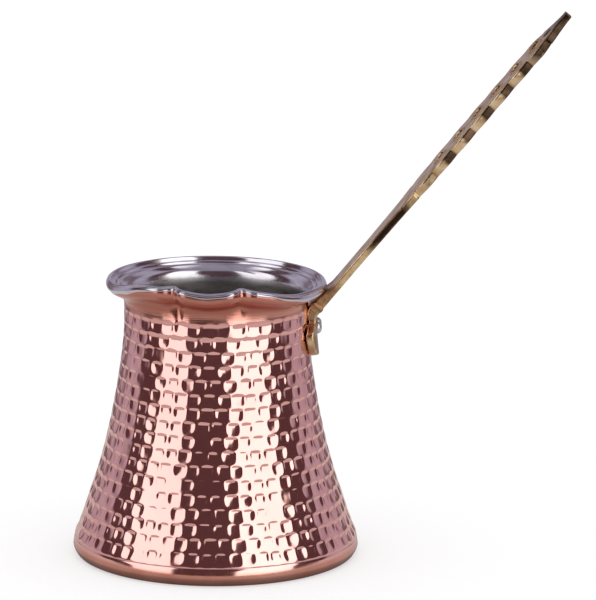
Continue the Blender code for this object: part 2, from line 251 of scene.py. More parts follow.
# Height and radius of the tinned inside, from the lip's edge down to the floor
TINNED_INSIDE = [
    (0.0964, RIM_RADIUS - 0.0002),
    (0.0968, RIM_RADIUS - 0.0008),
    (0.0967, RIM_RADIUS - 0.0014),
    (0.0960, RIM_RADIUS - 0.0017),
    (0.0955, RIM_RADIUS - 0.0019),
    (0.0955, RIM_RADIUS - 0.0024),
    (0.0955, RIM_RADIUS - 0.0028),
    (0.0948, RIM_RADIUS - 0.0033),
    (0.0945, RIM_RADIUS - 0.0036),
    (0.0945, RIM_RADIUS - 0.0042),
    (0.0940, RIM_RADIUS - 0.0047),
    (0.0935, RIM_RADIUS - 0.0052),
    (0.0926, RIM_RADIUS - 0.0062),
    (0.0914, NECK_RADIUS - 0.0010),
    (0.0900, NECK_RADIUS - 0.0013),
    (0.0880, NECK_RADIUS - 0.0015),
    (0.0820, NECK_RADIUS - 0.0016),
    (0.0740, 0.0306),
    (0.0620, 0.0322),
    (0.0500, 0.0343),
    (0.0380, 0.0370),
    (0.0280, 0.0398),
    (0.0200, 0.0425),
    (0.0140, 0.0444),
    (0.0080, 0.0464),
    (0.0045, 0.0464),
    (0.0025, 0.0452),
    (0.0018, 0.0430),
]


def smooth_step(value, low, high):
    """0 below low, 1 above high, and a smooth ramp between them. Takes numbers or arrays."""
    share = np.clip((value - low) / (high - low), 0.0, 1.0)
    return share * share * (3.0 - 2.0 * share)


def curve_slopes(knots, values, level_turns):
    """The slope at each knot of a smooth curve, level at its turning points if asked."""
    steps = np.diff(values) / np.diff(knots)
    slopes = np.concatenate(([steps[0]], (steps[1:] + steps[:-1]) / 2, [steps[-1]]))
    if level_turns:
        slopes[1:-1][steps[1:] * steps[:-1] <= 0] = 0.0
    return slopes


def smooth_path(positions, knots, values, level_turns=False):
    """Values along a path at some positions, on a smooth curve through the knots."""
    slopes = curve_slopes(knots, values, level_turns)
    span = np.clip(np.searchsorted(knots, positions, side="right") - 1, 0, len(knots) - 2)
    width = knots[span + 1] - knots[span]
    t = (positions - knots[span]) / width
    low_part = (1 + 2 * t) * (1 - t) ** 2 * values[span] + t * (1 - t) ** 2 * width * slopes[span]
    high_part = t * t * (3 - 2 * t) * values[span + 1] + t * t * (t - 1) * width * slopes[span + 1]
    return low_part + high_part


def radius_at(heights, outline):
    """The outline's radius at some heights, on a smooth curve through its points."""
    knots, values = np.array(sorted(outline)).T
    return smooth_path(np.clip(heights, knots[0], knots[-1]), knots, values, level_turns=True)


def away_from_spout(angles):
    """Angles measured from the middle of the spout, between minus and plus a half turn."""
    return (angles - SPOUT_ANGLE + math.pi) % math.tau - math.pi


def spout_moves(heights, angles):
    """How far the spout and its two folds move the wall inwards and upwards."""
    lift = smooth_step(heights, LIP_START, LIP_FULL)
    away = np.abs(away_from_spout(angles))
    away_from_beak = np.abs(away_from_spout(angles + SPOUT_RISE_TURN))
    fold = np.exp(-(((away - SPOUT_HALF_ANGLE) / FOLD_SPREAD) ** 2))
    spout = 1.0 - smooth_step(away, 0.0, SPOUT_HALF_ANGLE)
    beak = 1.0 - smooth_step(away_from_beak, SPOUT_RISE_FLAT, SPOUT_RISE_REACH)
    inwards = smooth_step(heights, LIP_START, RIM_HEIGHT) * (FOLD_IN * fold + SPOUT_IN * spout)
    upwards = lift * (FOLD_RISE * fold + SPOUT_RISE * beak - SPOUT_DIP * spout)
    return inwards, upwards


def pot_points(heights, radii, angles):
    """Points of the turned wall after the spout is pinched and the lip leans a little."""
    inwards, upwards = spout_moves(heights, angles)
    radii = radii - inwards
    lean = smooth_step(heights, LIP_START, RIM_HEIGHT) * math.tan(LIP_LEAN)
    tops = heights + upwards - lean * radii * np.cos(angles)
    return np.stack([radii * np.cos(angles), radii * np.sin(angles), tops], axis=-1)


def sweep_round(heights, radii, angles):
    """A grid of rings at some heights and radii, shaped by the spout."""
    shape = (len(heights), len(angles))
    all_heights = np.broadcast_to(heights[:, None], shape)
    all_radii = np.broadcast_to(radii[:, None], shape)
    all_angles = np.broadcast_to(angles[None, :], shape)
    return pot_points(all_heights, all_radii, all_angles)


def grid_mesh(name, grid):
    """A mesh from a grid of points, closed round each row, with a disc at each end."""
    rows, columns = grid.shape[:2]
    index = np.arange(rows * columns).reshape(rows, columns)
    following = np.roll(index, -1, axis=1)
    quads = np.stack([index[:-1], following[:-1], following[1:], index[1:]], axis=-1)
    faces = quads.reshape(-1, 4).tolist()
    faces.append(index[0][::-1].tolist())
    faces.append(index[-1].tolist())
    mesh = bpy.data.meshes.new(name)
    mesh.from_pydata(grid.reshape(-1, 3).tolist(), [], faces)
    mesh.update()
    return mesh


def face_outwards(mesh):
    """Turns the faces of a closed mesh outwards."""
    work = bmesh.new()
    work.from_mesh(mesh)
    bmesh.ops.recalc_face_normals(work, faces=work.faces)
    work.to_mesh(mesh)
    work.free()


def add_piece(name, mesh, material, slot, *nodes):
    """Puts a mesh in the scene as a piece that stands for some CAD nodes."""
    face_outwards(mesh)
    mesh.shade_smooth()
    mesh.set_sharp_from_angle(angle=math.radians(50))
    piece = bpy.data.objects.new(name, mesh)
    bpy.context.scene.collection.objects.link(piece)
    piece.data.materials.append(material)
    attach(piece, "root")
    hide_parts(*nodes)
    return piece


def wandering(random, angles, waves):
    """A random closed wave round the pot, between about -1 and 1."""
    total = np.zeros(len(angles))
    for count in waves:
        total += random.uniform(0.4, 1.0) * np.sin(count * angles + random.uniform(0, math.tau))
    return total / math.sqrt(len(waves))


def dent_field(heights, angles, outline):
    """Depth of the hammering at each point of the grid. Each row is a belt of dents nearly as
    wide as its cell, steep at the top and shallow at the bottom, on a gently uneven wall."""
    random = np.random.default_rng(7)
    depth = np.zeros((len(heights), len(angles)))
    pitch = (HAMMER_HIGH - HAMMER_LOW) / HAMMER_ROWS
    for row in range(HAMMER_ROWS):
        middle = HAMMER_LOW + (row + 0.5) * pitch
        radius = float(radius_at(np.array([middle]), outline)[0])
        count = round(math.tau * radius / DENT_SPACING)
        start = random.uniform(0, math.tau)
        rows_near = np.where(np.abs(heights - middle) < pitch * 0.62)[0]
        sway = ROW_SWAY * wandering(random, angles, (2, 5, 9))
        deepest = DENT_DEPTH * (1.0 + DENT_LOW_GAIN * (1.0 - row / (HAMMER_ROWS - 1)))
        for dent in range(count):
            centre = start + math.tau * (dent + random.uniform(-0.09, 0.09)) / count
            size = DENT_RADIUS * random.uniform(0.88, 1.05)
            strength = random.choice([0.2, 0.6, 0.9, 1.0, 1.2], p=[0.06, 0.16, 0.3, 0.3, 0.18])
            tilt = random.uniform(-0.35, 0.35)
            rise = random.uniform(-DENT_RISE, DENT_RISE)
            across = (angles - centre + math.pi) % math.tau - math.pi
            columns_near = np.where(np.abs(across) * radius < size * 1.12)[0]
            u = across[columns_near] * radius / (size * random.uniform(0.94, 1.08))
            local = heights[rows_near, None] - middle - rise - sway[None, columns_near]
            v = local / size
            above = np.maximum(0.0, v - DENT_BOTTOM) / (1.0 - DENT_BOTTOM)
            below = np.maximum(0.0, DENT_BOTTOM - v) / (1.0 + DENT_BOTTOM)
            reach = np.abs(u[None, :]) ** DENT_SIDE_POWER + (above + below) ** 2.0
            bowl = np.maximum(0.0, 1.0 - reach) * (1.0 + tilt * u[None, :])
            block = np.ix_(rows_near, columns_near)
            depth[block] = np.maximum(depth[block], deepest * strength * bowl)
        phase = (heights[:, None] - sway[None, :] - middle) / pitch + 0.5
        inside = (phase > 0) & (phase < 1)
        step = smooth_step(phase, 0.10, 0.85) * (1.0 - smooth_step(phase, 0.86, 0.99))
        uneven = 0.6 + 0.4 * wandering(random, angles, (7, 13, 19))
        belly = np.sin(math.pi * np.clip(phase, 0, 1)) ** 2
        wave = wandering(random, angles, (11, 17, 23, 31))
        shape = step * ROW_STEP * uneven[None, :] + belly * WAVE_DEPTH * wave[None, :]
        depth = depth + np.where(inside, shape, 0.0)
    return depth


def crease_depth(heights, angles):
    """Depth of the crease below the spout's left fold at each point of the grid."""
    drift = CREASE_DRIFT * smooth_step(HAMMER_HIGH - heights, 0.0, CREASE_DRIFT_HEIGHT)
    across = away_from_spout(angles)[None, :] - (CREASE_ANGLE - SPOUT_ANGLE) + drift[:, None]
    width = CREASE_HALF_WIDTH / NECK_RADIUS
    along = smooth_step(heights, CREASE_LOW, CREASE_LOW + CREASE_FADE_LOW)
    along = along * (1.0 - smooth_step(heights, CREASE_HIGH, CREASE_HIGH + CREASE_FADE_HIGH))
    return CREASE_DEPTH * along[:, None] * np.exp(-((across / width) ** 2))


def copper_pot(material):
    """The copper shell: hammered wall, smooth neck and base bands, lip and plain inside."""
    angles = np.arange(COLUMNS) * math.tau / COLUMNS
    edge = [0.0, 0.0002, 0.0005, 0.0009, 0.0014, 0.0020, 0.0026, 0.0033, 0.0040, 0.0048]
    edge += [0.0056, 0.0060, 0.0062, 0.0064, 0.0066]
    pitch = (HAMMER_HIGH - HAMMER_LOW) / HAMMER_ROWS
    hammered = HAMMER_LOW + pitch * np.add.outer(np.arange(HAMMER_ROWS), ROW_RINGS).ravel()
    lip = np.linspace(HAMMER_HIGH, COPPER_TOP, 18)
    heights = np.concatenate([edge, hammered, lip])
    radii = radius_at(heights, OUTER_WALL)
    groove = GROOVE_DEPTH * np.exp(-(((heights - GROOVE_HEIGHT) / GROOVE_HALF_WIDTH) ** 2))
    depth = dent_field(heights, angles, OUTER_WALL) + crease_depth(heights, angles)
    wall_heights = np.repeat(heights[:, None], COLUMNS, axis=1)
    wall_radii = (radii - groove)[:, None] - depth
    wall_angles = np.repeat(angles[None, :], len(heights), axis=0)
    outside = pot_points(wall_heights, wall_radii, wall_angles)

    inner_heights, inner_radii = np.array(COPPER_INSIDE).T
    inside = sweep_round(inner_heights, inner_radii, angles)
    mesh = grid_mesh("hammered_copper_pot", np.concatenate([outside, inside]))
    return add_piece("hammered_copper_pot", mesh, material, "copper", "copper_body")


def tinned_lining(material):
    """The tin: down the inside, over the lip's edge and a little way down outside it."""
    angles = np.arange(TIN_COLUMNS) * math.tau / TIN_COLUMNS
    path = np.array(TINNED_INSIDE)
    lengths = np.concatenate(([0], np.cumsum(np.hypot(*np.diff(path, axis=0).T))))
    close_rings = np.linspace(0, TIN_CLOSE_RINGS_END, 66)
    wide_rings = np.linspace(TIN_WIDE_RINGS_START, lengths[-1], 40)
    rings = np.concatenate([close_rings, wide_rings])
    heights = smooth_path(rings, lengths, path[:, 0])
    radii = smooth_path(rings, lengths, path[:, 1])
    inside = sweep_round(heights, radii, angles)

    across = smooth_step(np.abs(np.cos(angles)), 0.45, 0.90)
    uneven = TIN_UNEVEN * np.sin(9 * angles) * np.sin(4 * angles + 1.0)
    uneven += TIN_RIPPLE * np.sin(23 * angles)
    low_edge = TIN_LOW_EDGE - TIN_SIDE_DROP * across + uneven
    down = np.array([1.0, 0.85, 0.45, 0.0])
    up = np.linspace(0.0, 1.0, 11)
    shares = np.concatenate([down, up])[:, None]
    collar_heights = low_edge[None, :] + shares * (TIN_HIGH_EDGE - low_edge[None, :])
    bead = np.concatenate([np.zeros(4), np.sin(math.pi * up) ** 0.7])
    clearances = TIN_CLEARANCE * 0.5 + bead * TIN_BEAD
    collar_radii = radius_at(collar_heights, OUTER_WALL) + clearances[:, None]
    wide_angles = np.broadcast_to(angles[None, :], collar_heights.shape)
    collar = pot_points(collar_heights, collar_radii, wide_angles)

    wall = [(height, radius - TIN_CLEARANCE) for height, radius in COPPER_INSIDE[-2::-1]]
    back_heights, back_radii = np.array([TIN_BACK_FLOOR] + wall + [TIN_BACK_TOP]).T
    back = sweep_round(back_heights, back_radii, angles)
    mesh = grid_mesh("tinned_inside", np.concatenate([back, collar, inside]))
    return add_piece("tinned_inside", mesh, material, "tin", "tin_lining")


def plate_radius(height):
    """Distance from the pot's axis to the middle of the palm plate's thickness."""
    wall = float(radius_at(np.array([height]), OUTER_WALL)[0])
    return wall + TOUCHING_GAP + HANDLE_THICKNESS / 2


def stem_half_width(distance):
    """Half of the handle's width, at a distance along the stem from the bend."""
    widening = smooth_step(distance, WIDENING_START, WIDENING_END)
    narrowing = smooth_step(distance, TIP_START, STEM_LENGTH)
    width = STEM_HALF_WIDTH + widening * (LOBE_HALF_WIDTH - STEM_HALF_WIDTH)
    width += narrowing * (TIP_HALF_WIDTH - LOBE_HALF_WIDTH)
    phase = (distance - LOBE_START) / LOBE_PITCH
    if 0 < phase < LOBE_COUNT:
        width -= LOBE_NOTCH * (1.0 - abs(math.sin(math.pi * phase)))
    return float(width)


def stem_half_thickness(distance):
    """Half of the handle's thickness, at a distance along the stem from the bend."""
    swell_end = LOBE_START + LOBE_SWELL_REACH
    swell = smooth_step(distance, LOBE_START - LOBE_SWELL_REACH, swell_end)
    thinning = smooth_step(distance, STEM_LENGTH - TIP_THINNING_REACH, STEM_LENGTH)
    return float(HANDLE_THICKNESS / 2 + LOBE_SWELL * swell - TIP_THINNING * thinning)


def side_lean(distance):
    """How much wider the handle's top face is than its middle: the casting's sides lean."""
    lean = SIDE_LEAN - PLAIN_SIDE_CHANGE * smooth_step(distance, 0.026, 0.034)
    lean += PLAIN_SIDE_CHANGE * smooth_step(distance, 0.048, 0.053)
    phase = (distance - LOBE_START) / LOBE_PITCH
    if 0 < phase < LOBE_COUNT:
        lean += LOBE_LEAN * math.sin(math.tau * phase)
    drop = TIP_LEAN_DROP * smooth_step(distance, LOBES_END - TIP_LEAN_REACH, LOBES_END)
    return float(lean - drop)


def plate_half_width(share):
    """Half of the palm plate's width, from its rounded lower end (0) to its shoulder (1)."""
    short_of_full = 1.0 - min(share / PLATE_ROUNDING_END, 1.0)
    rounded = math.sqrt(1.0 - short_of_full * short_of_full)
    shoulder = float(smooth_step(share, PLATE_SHOULDER_START, 1.0))
    width = PLATE_HALF_WIDTH * (PLATE_END_SHARE + (1.0 - PLATE_END_SHARE) * rounded)
    return width + shoulder * (STEM_HALF_WIDTH - PLATE_HALF_WIDTH)


def stem_frame():
    """The bend's corner, the direction of the stem and the upward normal of its top face."""
    corner = Vector((plate_radius(BEND_HEIGHT), 0, BEND_HEIGHT))
    direction = Vector((math.cos(STEM_ANGLE), 0, math.sin(STEM_ANGLE)))
    return corner, direction, Vector((-direction.z, 0, direction.x))


def plate_and_bend_stations():
    """Cross-sections of the palm plate and of the bend above it."""
    stations = []
    half_thickness = HANDLE_THICKNESS / 2
    turn = math.radians(90) - STEM_ANGLE
    reach = BEND_RADIUS * math.tan(turn / 2)
    plate_top = BEND_HEIGHT - reach - TOUCHING_GAP
    plate_steps = 40
    nearby = 0.002
    for step in range(plate_steps + 1):
        share = step / plate_steps
        height = PLATE_BOTTOM + share * (plate_top - PLATE_BOTTOM)
        middle = Vector((plate_radius(height), 0, height))
        lean = (plate_radius(height + nearby) - plate_radius(height - nearby)) / (2 * nearby)
        normal = Vector((-1, 0, lean)).normalized()
        stations.append((middle, normal, plate_half_width(share), half_thickness, 1.0, 0.0))
    corner, _, _ = stem_frame()
    arc_centre = corner + Vector((BEND_RADIUS, 0, -reach))
    bend_steps = 8
    for step in range(1, bend_steps + 1):
        share = step / bend_steps
        web = WEB_THICKNESS * share**2.5 + WEB_BEND_SWELL * math.sin(math.pi * share)
        thickness = half_thickness + web / 2
        normal = Vector((-math.cos(turn * share), 0, math.sin(turn * share)))
        middle = arc_centre + normal * (BEND_RADIUS + web / 2)
        stations.append((middle, normal, STEM_HALF_WIDTH, thickness, 1.0 - share, 0.0))
    return stations


def stem_stations():
    """Cross-sections of the stem, its lobes and its tip."""
    corner, direction, normal = stem_frame()
    distances = [COLLAR_DISTANCE + COLLAR_HALF_LENGTH * step / 5 for step in range(-5, 6)]
    distances += [0.006 + 0.002 * step for step in range(24)]
    distances += [LOBE_START + LOBE_PITCH * step / 24 for step in range(LOBE_COUNT * 24 + 1)]
    tip_steps = 14
    tip_step = (STEM_LENGTH - LOBES_END) / tip_steps
    distances += [LOBES_END + tip_step * step for step in range(1, tip_steps + 1)]
    stations = []
    for distance in distances:
        drop = TIP_DROP * smooth_step(distance, STEM_LENGTH - TIP_DROP_REACH, STEM_LENGTH)
        web = WEB_THICKNESS * float(1.0 - smooth_step(distance, WEB_FULL_END, WEB_END))
        middle = corner + direction * distance + normal * (web / 2 - float(drop))
        share = (distance - COLLAR_DISTANCE) / COLLAR_HALF_LENGTH
        collar = COLLAR_SWELL * math.sqrt(max(0.0, 1.0 - share * share))
        width = stem_half_width(distance) + collar
        thickness = stem_half_thickness(distance) + web / 2 + collar
        stations.append((middle, normal, width, thickness, 0.0, side_lean(distance)))
    return stations


def section_points(station):
    """The corners of one cross-section of the handle, with its edges lightly rounded."""
    middle, normal, half_width, half_thickness, wrap, lean = station
    soften = EDGE_SOFTENING
    across_steps = 6
    corners = []
    for side in (1, -1):
        up = side * half_thickness
        width = half_width + side * lean
        corners.append((-side * width, up - side * soften))
        for step in range(across_steps + 1):
            corners.append((side * (width - soften) * (2 * step / across_steps - 1), up))
        corners.append((side * width, up - side * soften))
    points = []
    for across, up in corners:
        point = middle + normal * up
        if wrap > 0:
            curve = point.x / wrap
            bend = across / curve
            point = point + Vector((curve * (math.cos(bend) - 1), curve * math.sin(bend), 0))
        else:
            point = point + Vector((0, across, 0))
        points.append(point)
    return points


def stem_place(distance):
    """The frame on the stem's middle: local X along the stem and local Z out of its top."""
    corner, _, _ = stem_frame()
    lift_over = Matrix.Rotation(-STEM_ANGLE, 4, "Y")
    return Matrix.Translation(corner) @ lift_over @ Matrix.Translation((distance, 0, 0))


def post(place, half_length, half_width):
    """The mesh of an oval post along the place's local Z."""
    mesh = bpy.data.meshes.new("post")
    work = bmesh.new()
    bmesh.ops.create_cone(
        work,
        cap_ends=True,
        segments=48,
        radius1=1.0,
        radius2=1.0,
        depth=POST_DEPTH,
        matrix=place @ Matrix.Diagonal((half_length, half_width, 1, 1)),
    )
    work.to_mesh(mesh)
    work.free()
    return mesh


def oval_ring(place, half_length, half_width):
    """The mesh of an oval ring lying in the place's XY plane."""
    around = 56
    section = 10
    points = []
    for index in range(around):
        angle = math.tau * index / around
        out = Vector((math.cos(angle) * half_length, math.sin(angle) * half_width, 0))
        side = Vector((math.cos(angle), math.sin(angle), 0))
        for step in range(section):
            turn = math.tau * step / section
            offset = side * math.cos(turn) + Vector((0, 0, math.sin(turn)))
            points.append(place @ (out + offset * RING_THICKNESS))
    faces = []
    for index in range(around):
        following = (index + 1) % around
        for step in range(section):
            beside = (step + 1) % section
            faces.append(
                (
                    index * section + step,
                    following * section + step,
                    following * section + beside,
                    index * section + beside,
                )
            )
    mesh = bpy.data.meshes.new("ring")
    mesh.from_pydata(points, [], faces)
    face_outwards(mesh)
    return mesh


def gathered(name, meshes):
    """A helper object that holds several meshes as they are."""
    work = bmesh.new()
    for mesh in meshes:
        work.from_mesh(mesh)
        bpy.data.meshes.remove(mesh)
    everything = bpy.data.meshes.new(name)
    work.to_mesh(everything)
    work.free()
    helper = bpy.data.objects.new(name, everything)
    bpy.context.scene.collection.objects.link(helper)
    return helper


def evaluated_mesh(item):
    """The item's mesh with its modifiers applied."""
    graph = bpy.context.evaluated_depsgraph_get()
    return bpy.data.meshes.new_from_object(item.evaluated_get(graph))


def pierce(item, posts):
    """Cuts posts out of an item and removes them."""
    cutter = gathered("posts", posts)
    modifier = item.modifiers.new("pierce", "BOOLEAN")
    modifier.operation = "DIFFERENCE"
    modifier.solver = "EXACT"
    modifier.object = cutter
    mesh = evaluated_mesh(item)
    item.modifiers.clear()
    item.data = mesh
    bpy.data.objects.remove(cutter, do_unlink=True)


def cast_handle(material):
    """The handle casting: a lofted bar with raised oval rims, pierced in each lobe."""
    stations = plate_and_bend_stations() + stem_stations()
    grid = np.array([[list(point) for point in section_points(each)] for each in stations])
    blank = grid_mesh("cast_handle", grid)
    face_outwards(blank)
    handle = gathered("handle_blank", [blank])
    top = HANDLE_THICKNESS / 2 + LOBE_SWELL
    posts = []
    rims = []
    for lobe in range(1, LOBE_COUNT):
        middle = stem_place(LOBE_START + (lobe + 0.5) * LOBE_PITCH)
        share = min(1.0, FIRST_OPENING_SHARE + OPENING_SHARE_STEP * (lobe - 1))
        half_width = share * OPENING_HALF_WIDTH
        posts.append(post(middle, OPENING_HALF_LENGTH, half_width))
        for side in (1, -1):
            place = middle @ Matrix.Translation((0, 0, side * (top - RING_SINK)))
            rims.append(oval_ring(place, OPENING_HALF_LENGTH + RING_GAP, half_width + RING_GAP))
    hanging = stem_place(HANGING_DISTANCE)
    posts.append(post(hanging, HANGING_HALF_LENGTH, HANGING_HALF_WIDTH))
    pierce(handle, posts)
    pierced = handle.data
    bpy.data.objects.remove(handle, do_unlink=True)
    casting = gathered("casting", [pierced] + rims)
    remesh = casting.modifiers.new("cast", "REMESH")
    remesh.mode = "VOXEL"
    remesh.voxel_size = CAST_VOXEL
    remesh.use_smooth_shade = True
    smooth = casting.modifiers.new("soften", "SMOOTH")
    smooth.factor = 0.5
    smooth.iterations = 2
    cast = evaluated_mesh(casting)
    bpy.data.objects.remove(casting, do_unlink=True)
    return add_piece("cast_brass_handle", cast, material, "brass", "brass_handle")


def rivet(name, node, side, material):
    """A rivet: a beaten domed head outside, a shank, and a flattened head inside the pot."""
    low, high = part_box(node)
    height = (low.z + high.z) / 2
    angle = side * RIVET_ANGLE
    seat = plate_radius(height) + HANDLE_THICKNESS / 2
    inner_wall = [point for point in TINNED_INSIDE if point[0] < LIP_START]
    inside = float(radius_at(np.array([height]), inner_wall)[0])
    profile = [
        (RIVET_SET_RADIUS * 0.8, inside - RIVET_SET_HEIGHT),
        (RIVET_SET_RADIUS * 0.95, inside - RIVET_SET_HEIGHT * 0.7),
        (RIVET_SET_RADIUS, inside - RIVET_SET_HEIGHT * 0.3),
        (RIVET_SET_RADIUS, inside),
        (RIVET_SHANK_RADIUS, inside),
        (RIVET_SHANK_RADIUS, seat - RIVET_HEAD_SINK),
        (RIVET_HEAD_RADIUS * 0.97, seat - RIVET_HEAD_SINK),
        (RIVET_HEAD_RADIUS, seat + RIVET_HEAD_EDGE),
    ]
    dome_steps = 9
    for step in range(1, dome_steps):
        turn = math.radians(90) * step / dome_steps
        out = RIVET_HEAD_RADIUS * math.cos(turn) ** 0.8
        up = RIVET_HEAD_EDGE + (RIVET_HEAD_HEIGHT - RIVET_HEAD_EDGE) * math.sin(turn)
        profile.append((out, seat + up))
    profile.append((0.00005, seat + RIVET_HEAD_HEIGHT))
    random = np.random.default_rng(3 + side)
    sides = 40
    turns = np.arange(sides) * math.tau / sides
    place = Matrix.Translation((0, 0, height)) @ Matrix.Rotation(angle, 4, "Z")
    place = place @ Matrix.Rotation(math.radians(90), 4, "Y")
    wobble = random.uniform(0, math.tau, 3)
    rows = []
    for radius, along in profile:
        row = []
        for turn in turns:
            uneven = 1.0 + 0.03 * math.sin(3 * turn + wobble[0])
            uneven += 0.015 * math.sin(5 * turn + wobble[1])
            out = radius * uneven
            row.append(list(place @ Vector((out * math.cos(turn), out * math.sin(turn), along))))
        rows.append(row)
    mesh = grid_mesh(name, np.array(rows))
    return add_piece(name, mesh, material, "aluminium", node)


def node_tree(name):
    """A new material with an empty node tree and its output, as (material, tree, output)."""
    material = bpy.data.materials.new(name)
    material.use_nodes = True
    tree = material.node_tree
    tree.nodes.clear()
    output = tree.nodes.new("ShaderNodeOutputMaterial")
    return material, tree, output


def add_node(tree, kind, **settings):
    """A new node; settings name its properties, or its inputs where they start with in_."""
    node = tree.nodes.new(kind)
    for key, value in settings.items():
        if key.startswith("in_"):
            node.inputs[key[3:].replace("_", " ")].default_value = value
        else:
            setattr(node, key, value)
    return node


def stretched_noise(tree, scale, stretch, detail=3.0):
    """Noise in object space, stretched by a factor along each axis."""
    place = add_node(tree, "ShaderNodeTexCoord")
    mapping = add_node(tree, "ShaderNodeMapping")
    mapping.inputs["Scale"].default_value = stretch
    tree.links.new(place.outputs["Object"], mapping.inputs["Vector"])
    noise = add_node(tree, "ShaderNodeTexNoise", in_Scale=scale, in_Detail=detail)
    tree.links.new(mapping.outputs["Vector"], noise.inputs["Vector"])
    return noise.outputs["Fac"]


def ramp(tree, source, stops):
    """A colour ramp from (position, colour) stops."""
    node = add_node(tree, "ShaderNodeValToRGB")
    elements = node.color_ramp.elements
    while len(elements) > 1:
        elements.remove(elements[-1])
    elements[0].position = stops[0][0]
    elements[0].color = (*stops[0][1], 1.0)
    for position, colour in stops[1:]:
        elements.new(position).color = (*colour, 1.0)
    tree.links.new(source, node.inputs["Fac"])
    return node.outputs["Color"]


def value_ramp(tree, source, stops):
    """A grey ramp from (position, value) stops."""
    return ramp(tree, source, [(position, (value,) * 3) for position, value in stops])


def math_node(tree, operation, first, second):
    """A math node on two sockets or numbers."""
    node = add_node(tree, "ShaderNodeMath", operation=operation)
    for slot_index, value in enumerate((first, second)):
        if isinstance(value, (int, float)):
            node.inputs[slot_index].default_value = value
        else:
            tree.links.new(value, node.inputs[slot_index])
    return node.outputs["Value"]


def mix_colour(tree, factor, first, second):
    """A mix of two colours, each a socket or a triple."""
    node = add_node(tree, "ShaderNodeMix", data_type="RGBA")
    for slot_index, value in ((0, factor), (6, first), (7, second)):
        if isinstance(value, (int, float)):
            node.inputs[slot_index].default_value = value
        elif isinstance(value, tuple):
            node.inputs[slot_index].default_value = (*value, 1.0)
        else:
            tree.links.new(value, node.inputs[slot_index])
    return node.outputs[2]


def bump(tree, height, strength, distance):
    """A bump node on a height socket."""
    node = add_node(tree, "ShaderNodeBump", in_Strength=strength, in_Distance=distance)
    tree.links.new(height, node.inputs["Height"])
    return node.outputs["Normal"]


def height_above(tree):
    """The point's height in the object's own space."""
    place = add_node(tree, "ShaderNodeTexCoord")
    split = add_node(tree, "ShaderNodeSeparateXYZ")
    tree.links.new(place.outputs["Object"], split.inputs["Vector"])
    return split.outputs["Z"]


def metal_shader(tree, output, colour, roughness, normal):
    """A metallic shader from colour, roughness and normal sockets."""
    shader = add_node(tree, "ShaderNodeBsdfPrincipled", in_Metallic=1.0)
    tree.links.new(colour, shader.inputs["Base Color"])
    tree.links.new(roughness, shader.inputs["Roughness"])
    tree.links.new(normal, shader.inputs["Normal"])
    tree.links.new(shader.outputs["BSDF"], output.inputs["Surface"])
    return shader


def copper_material():
    """Polished hammered copper: brushed on the neck band; browned at the base by a painted dark
    reflection of the floor, and at the neck and under the lip by painted shade.
    """
    material, tree, output = node_tree("polished copper")
    height = height_above(tree)
    blotches = stretched_noise(tree, 55.0, (1, 1, 1))
    fine = stretched_noise(tree, 420.0, (1, 1, 1))
    lathe = stretched_noise(tree, 60.0, (1, 1, 60), 2.0)
    share = math_node(tree, "DIVIDE", height, RIM_HEIGHT)
    # Painted shade: the base band is browned as a painted dark reflection of the floor close round
    # the pot, and the top of the neck is browned as painted shade under the lip.
    painted_shade_band = value_ramp(
        tree, share, [(0.0, 1.0), (0.044, 1.0), (0.054, 0.0), (0.885, 0.0), (0.94, 1.0)]
    )
    brushed_band = value_ramp(tree, share, [(0.0, 0.0), (0.895, 0.0), (0.930, 1.0)])
    plain_copper = ramp(tree, blotches, [(0.3, (0.89, 0.49, 0.455)), (0.7, (0.94, 0.55, 0.51))])
    shaded_copper = ramp(tree, blotches, [(0.35, (0.66, 0.27, 0.18)), (0.65, (0.87, 0.41, 0.31))])
    colour = mix_colour(tree, math_node(tree, "MULTIPLY", painted_shade_band, 0.8), plain_copper, shaded_copper)
    # Painted shade: the underside of the lip and the top of the neck are darkened to a deep
    # red-brown.
    shade_under_lip = value_ramp(tree, share, [(0.90, 0.0), (0.945, 0.85), (0.985, 0.55)])
    colour = mix_colour(tree, shade_under_lip, colour, (0.40, 0.14, 0.10))
    smooth_rough = value_ramp(tree, fine, [(0.3, 0.075), (0.7, 0.12)])
    brushed_rough = value_ramp(tree, lathe, [(0.35, 0.10), (0.65, 0.17)])
    rough = mix_colour(tree, brushed_band, smooth_rough, brushed_rough)
    lines = math_node(tree, "MULTIPLY", lathe, brushed_band)
    grain = math_node(tree, "MULTIPLY", fine, 0.08)
    relief = math_node(tree, "ADD", math_node(tree, "MULTIPLY", lines, 3.0), grain)
    shader = metal_shader(tree, output, colour, rough, bump(tree, relief, 0.2, 0.0001))
    turned = add_node(tree, "ShaderNodeTangent", direction_type="RADIAL", axis="Z")
    tree.links.new(turned.outputs["Tangent"], shader.inputs["Tangent"])
    stretch = math_node(tree, "MULTIPLY", brushed_band, 0.92)
    tree.links.new(stretch, shader.inputs["Anisotropic"])
    shader.inputs["Anisotropic Rotation"].default_value = 0.25
    return material


